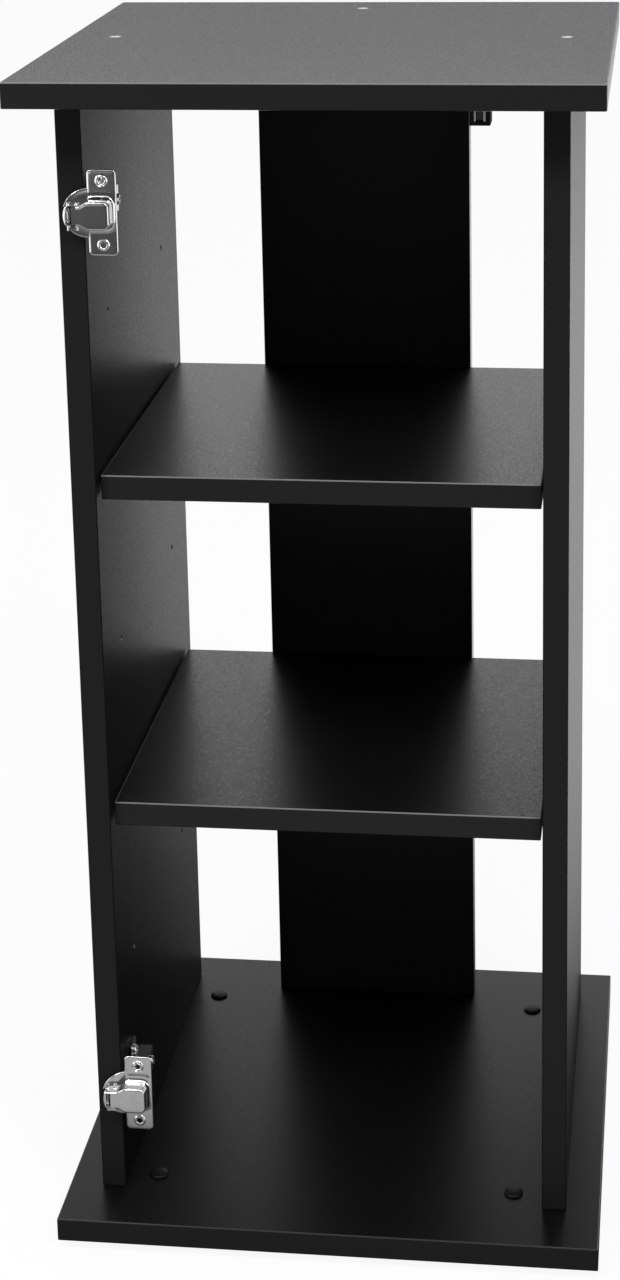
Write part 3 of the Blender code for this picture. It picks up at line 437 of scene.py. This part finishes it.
def makeCup(level, s):                               # cut near the origin, where numbers are finest, then moved
    def pocketLike(name, profile):
        return pressedPiece(name, lambda inset: pocketOutline(s, inset), s[profile])

    def flangeLike(name, profile):
        return pressedPiece(name, lambda inset: flangeOutline(s, inset), s[profile])

    def wingLike(name, profile):                     # the left half of a sloping round
        rings = [(s["radius"] - inset, depth) for inset, depth in s[profile]]
        made = roundPiece(name, (s["centre"], 0.0), rings, s["wingSteps"], s["wingSlope"])
        combine(made, boxPiece("rightHalf", *s["rightHalf"]), "DIFFERENCE")
        return made

    out, up = s["holes"]
    wings, room = wingLike("wings", "wingProfile"), wingLike("wingRoom", "wingRoom")
    flare = pocketLike("flare", "flareProfile")
    combine(flare, flangeLike("flareEdge", "flareEdge"), "INTERSECT")
    cup = flangeLike(f"{level}HingeCup", "flangeProfile")
    combine(cup, wings, "UNION")
    combine(cup, pocketLike("pocket", "pocketProfile"), "UNION")
    combine(cup, flare, "UNION")
    for z in (-up, up):
        combine(cup, roundPiece("boss", (out, z), s["boss"], s["holeSteps"]), "UNION")
    combine(cup, room, "DIFFERENCE")
    combine(cup, pocketLike("room", "pocketRoom"), "DIFFERENCE")
    for z in (-up, up):
        combine(cup, roundPiece("sink", (out, z), s["sink"], s["holeSteps"]), "DIFFERENCE")
    for cut in ("linkWay", "slot", "fold"):
        combine(cup, boxPiece(cut, *s[cut]), "DIFFERENCE")
    for u, v in s["pins"]:
        spot = np.array([u, v, s["neck"]]) * mm
        combine(cup, turnedPiece("pinHead", s["pinHead"], s["pinSteps"], spot), "UNION")
    tidyMesh(cup.data, s["nearestMm"] * mm)
    cup.data.transform(mathutils.Matrix.Translation((*s["corner"], s["levels"][level])))
    cup.data.materials.clear()
    cup.data.materials.append(nickel)
    cup.data.shade_smooth()
    cup.data.set_sharp_from_angle(angle=crease)
    cup.modifiers.new("flat faces stay flat", "WEIGHTED_NORMAL").keep_sharp = True
    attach(cup, f"{level}_hinge_cup")
    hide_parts(f"{level}_hinge_cup")


for level in cupSettings["levels"]:
    makeCup(level, cupSettings)
print("hinge cups made")

# Sleeve caps and feet: turned profiles, millimetres of radius and height
capSettings = {
    "corners": {"front_left": (-0.135, -0.135), "front_right": (0.135, -0.135),
                "rear_left": (-0.135, 0.135), "rear_right": (0.135, 0.135)},         # metres
    "cap": [(3.8, 8.3), (5.7, 8.3), (5.8, 8.5), (5.8, 26.25), (6.9, 26.3), (7.0, 26.45), (7.0, 26.95), (6.85, 27.2),
            (6.4, 27.55), (5.4, 27.95), (4.0, 28.25), (2.4, 28.38), (0.8, 28.42)],
    "bore": [(3.8, 7.0), (3.8, 23.5)],
    "foot": [(12.6, 0.0), (13.4, 0.15), (13.9, 0.6), (14.0, 1.2), (14.0, 3.6), (13.85, 4.2), (13.2, 4.9), (12.4, 5.3),
             (8.6, 6.4), (8.2, 6.6), (8.0, 7.0), (8.0, 7.5), (7.8, 7.7), (3.7, 7.7), (3.6, 7.9), (3.6, 20.8),
             (3.2, 21.2)],
    "steps": 72,
}


def makeFeet(s):
    for corner, (x, y) in s["corners"].items():
        centre = (x, y, 0.0)
        cap = turnedPiece(f"sleeveCap_{corner}", s["cap"], s["steps"], centre, blackAbs)
        combine(cap, turnedPiece("bore", s["bore"], s["steps"], centre), "DIFFERENCE")
        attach(cap, "stand")
        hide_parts(f"foot_sleeve_{corner}")
        foot = turnedPiece(f"levellingFoot_{corner}", s["foot"], s["steps"], centre, greyNylon)
        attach(foot, f"foot_{corner}")
        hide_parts(f"levelling_foot_{corner}")


makeFeet(capSettings)
print("feet and caps made")

# stage: white floor and background, soft boxes from the front, and what board and metal mirror round about
stageSettings = {
    "floor": "#f4f4f4", "floorLight": "#f7f7f7", "fibreMm": 40.0, "floorRough": 0.9, "floorShine": 0.1,
    "floorWhite": 0.92, "reach": 8.0, "ambient": 0.50, "white": (1.0, 1.0, 1.0, 1.0), "black": (0.0, 0.0, 0.0, 1.0),
    # mirrored floor: its height, then metres from front to back, counted further at the sides, and brightness there;
    # the dim stretch round the object is a painted shadow
    "cardHeight": 0.003, "sideways": 2.0,
    "mirrored": [(-8.0, 0.09), (-2.4, 0.09), (-1.4, 0.35), (-0.9, 0.52), (-0.42, 0.62), (-0.30, 0.55), (-0.24, 0.08),
                 (0.20, 0.11), (0.50, 0.28), (0.9, 1.2), (1.4, 1.75), (2.5, 1.8), (4.0, 2.0), (5.0, 2.1), (6.0, 1.6),
                 (8.0, 1.1)],
    # mirrored surroundings: sine of the height above the horizon, and brightness behind and in front
    "behind": [(0.0, 0.05), (0.10, 0.06), (0.17, 0.10), (0.25, 1.4), (0.32, 3.4), (0.42, 3.7), (0.48, 1.0),
               (0.54, 0.18), (0.75, 0.12), (0.90, 2.0), (1.0, 2.8)],
    "before": [(0.0, 0.09), (0.30, 0.09), (0.50, 0.55), (0.75, 2.2), (1.0, 2.8)],
    "brightest": 3.7, "behindFrom": (-0.80, -0.35),
    # white walls left and right: their brightness, where the floor and where the surroundings turn to them
    "walls": 1.8, "wallFloor": (1.2, 2.0), "wallFrom": (0.5, 0.8),
    "aim": (0.0, 0.0, 0.45), "boxSize": 0.7,
    "boxes": [{"place": (-1.15, -1.75, 2.6), "power": 42.0}, {"place": (1.25, -1.65, 2.6), "power": 36.0}],
}


def stagePlane(name, half, height, finish):
    mesh = bpy.data.meshes.new(name)
    corners = [(-half, -half, height), (half, -half, height), (half, half, height), (-half, half, height)]
    mesh.from_pydata(corners, [], [(0, 1, 2, 3)])
    mesh.materials.append(finish)
    plane = bpy.data.objects.new(name, mesh)
    scene.collection.objects.link(plane)
    return plane


def setRamp(node, stops, low, high, brightest):      # stops of place and brightness, over a range of places
    ramp = node.color_ramp
    while len(ramp.elements) < len(stops):
        ramp.elements.new(1.0)
    for element, (place, level) in zip(ramp.elements, stops):
        element.position = (place - low) / (high - low)
        element.color = (level / brightest,) * 3 + (1.0,)


def wallShare(tree, s, aside, limits, colour):       # the brighter of a colour and the walls, towards the sides
    share = addNode(tree, "ShaderNodeMapRange",
                    {"From Min": s[limits][0], "From Max": s[limits][1], "To Max": s["walls"] / s["brightest"]},
                    {"Value": aside}).outputs[0]
    return addNode(tree, "ShaderNodeMix", {"data_type": "RGBA", "blend_type": "LIGHTEN", 0: 1.0},
                   {6: colour, 7: share}).outputs[2]


# Matt white paper: white to the camera, and it keeps some of the shadow. Reflections meet the card above it first.
def makeFloor(s):
    paper, tree, shader, place = startMaterial("white paper floor", {"Roughness": s["floorRough"],
                                                                     "Specular IOR Level": s["floorShine"]})
    fibre = addNode(tree, "ShaderNodeTexNoise", {"Scale": perMetre(s["fibreMm"])}, {"Vector": place}).outputs["Fac"]
    tone = addNode(tree, "ShaderNodeMix", {"data_type": "RGBA", 6: linear(s["floor"]), 7: linear(s["floorLight"])},
                   {0: fibre})
    tree.links.new(tone.outputs[2], shader.inputs["Base Color"])
    path = addNode(tree, "ShaderNodeLightPath", {}).outputs
    seen = addNode(tree, "ShaderNodeMath", {"operation": "MAXIMUM"},
                   {0: path["Is Camera Ray"], 1: path["Is Glossy Ray"]}).outputs[0]
    seen = addNode(tree, "ShaderNodeMath", {"operation": "MAXIMUM"},
                   {0: seen, 1: path["Is Transmission Ray"]}).outputs[0]
    share = addNode(tree, "ShaderNodeMath", {"operation": "MULTIPLY", 1: s["floorWhite"]}, {0: seen}).outputs[0]
    white = addNode(tree, "ShaderNodeEmission", {"Color": s["white"], "Strength": 1.0}).outputs[0]
    mix = addNode(tree, "ShaderNodeMixShader", {}, {0: share, 1: shader.outputs[0], 2: white}).outputs[0]
    tree.links.new(mix, tree.nodes["Material Output"].inputs["Surface"])
    stagePlane("floor", s["reach"], 0.0, paper)


def makeCard(s):                                     # a glowing card, no lamp, that only reflections see: a painted floor reflection, dim in front, a painted shadow round the object, white behind
    card, tree, shader, place = startMaterial("mirrored floor", {"Base Color": s["black"], "Specular IOR Level": 0.0,
                                                                 "Emission Strength": s["brightest"]})
    spot = addNode(tree, "ShaderNodeSeparateXYZ", {}, {"Vector": place}).outputs
    wide = addNode(tree, "ShaderNodeMath", {"operation": "ABSOLUTE"}, {0: spot["X"]}).outputs[0]
    aside = addNode(tree, "ShaderNodeMath", {"operation": "MINIMUM"}, {0: wide, 1: spot["Y"]}).outputs[0]
    aside = addNode(tree, "ShaderNodeMath", {"operation": "MAXIMUM", 1: 0.0}, {0: aside}).outputs[0]
    across = addNode(tree, "ShaderNodeMath", {"operation": "MULTIPLY_ADD", 1: s["sideways"]},
                     {0: aside, 2: spot["Y"]}).outputs[0]
    span = addNode(tree, "ShaderNodeMapRange", {"From Min": -s["reach"], "From Max": s["reach"]},
                   {"Value": across}).outputs[0]
    ramp = addNode(tree, "ShaderNodeValToRGB", {}, {"Fac": span})
    setRamp(ramp, s["mirrored"], -s["reach"], s["reach"], s["brightest"])
    lit = wallShare(tree, s, wide, "wallFloor", ramp.outputs["Color"])
    tree.links.new(lit, shader.inputs["Emission Color"])
    card.cycles.emission_sampling = "NONE"
    plane = stagePlane("mirroredFloor", s["reach"], s["cardHeight"], card)
    plane.visible_camera = plane.visible_diffuse = plane.visible_shadow = False


def makeLamps(s):
    for k, b in enumerate(s["boxes"]):
        data = bpy.data.lights.new(f"softBox{k}", "AREA")
        data.shape, data.size, data.energy = "SQUARE", s["boxSize"], b["power"]
        lamp = bpy.data.objects.new(f"softBox{k}", data)
        scene.collection.objects.link(lamp)
        lamp.location = b["place"]
        aim = np.array(s["aim"]) - np.array(b["place"])          # tilted up from straight down, then turned to the aim
        lamp.rotation_euler = (math.acos(-aim[2] / np.linalg.norm(aim)), 0.0, math.atan2(-aim[0], aim[1]))


def makeWorld(s):                                    # white to the camera, plain to the lit object, graded to mirrors
    world = bpy.data.worlds.new("white studio")
    scene.world = world
    world.use_nodes = True
    world.cycles.sampling_method = "NONE"            # rays alone find the world, so each kind gets its own level
    tree = world.node_tree
    tree.nodes.clear()
    path = addNode(tree, "ShaderNodeLightPath", {}).outputs
    toward = addNode(tree, "ShaderNodeTexCoord", {}).outputs["Generated"]
    toward = addNode(tree, "ShaderNodeSeparateXYZ", {}, {"Vector": toward}).outputs
    back = addNode(tree, "ShaderNodeMapRange", {"From Min": s["behindFrom"][0], "From Max": s["behindFrom"][1]},
                   {"Value": toward["Y"]}).outputs[0]
    ramps = {}
    for side in ("before", "behind"):
        ramp = addNode(tree, "ShaderNodeValToRGB", {}, {"Fac": toward["Z"]})
        setRamp(ramp, s[side], 0.0, 1.0, s["brightest"])
        ramps[side] = ramp.outputs["Color"]
    tone = addNode(tree, "ShaderNodeMix", {"data_type": "RGBA"},
                   {0: back, 6: ramps["before"], 7: ramps["behind"]}).outputs[2]
    wide = addNode(tree, "ShaderNodeMath", {"operation": "ABSOLUTE"}, {0: toward["X"]}).outputs[0]
    lit = wallShare(tree, s, wide, "wallFrom", tone)
    mirrored = addNode(tree, "ShaderNodeMath", {"operation": "MAXIMUM"},
                       {0: path["Is Glossy Ray"], 1: path["Is Transmission Ray"]}).outputs[0]
    ambient = addNode(tree, "ShaderNodeBackground", {"Color": s["white"], "Strength": s["ambient"]}).outputs[0]
    around = addNode(tree, "ShaderNodeBackground", {"Strength": s["brightest"]}, {"Color": lit}).outputs[0]
    white = addNode(tree, "ShaderNodeBackground", {"Color": s["white"], "Strength": 1.0}).outputs[0]
    mix = addNode(tree, "ShaderNodeMixShader", {}, {0: mirrored, 1: ambient, 2: around}).outputs[0]
    mix = addNode(tree, "ShaderNodeMixShader", {}, {0: path["Is Camera Ray"], 1: mix, 2: white}).outputs[0]
    addNode(tree, "ShaderNodeOutputWorld", {}, {"Surface": mix})


makeFloor(stageSettings)
makeCard(stageSettings)
makeLamps(stageSettings)
makeWorld(stageSettings)
print("stage made")
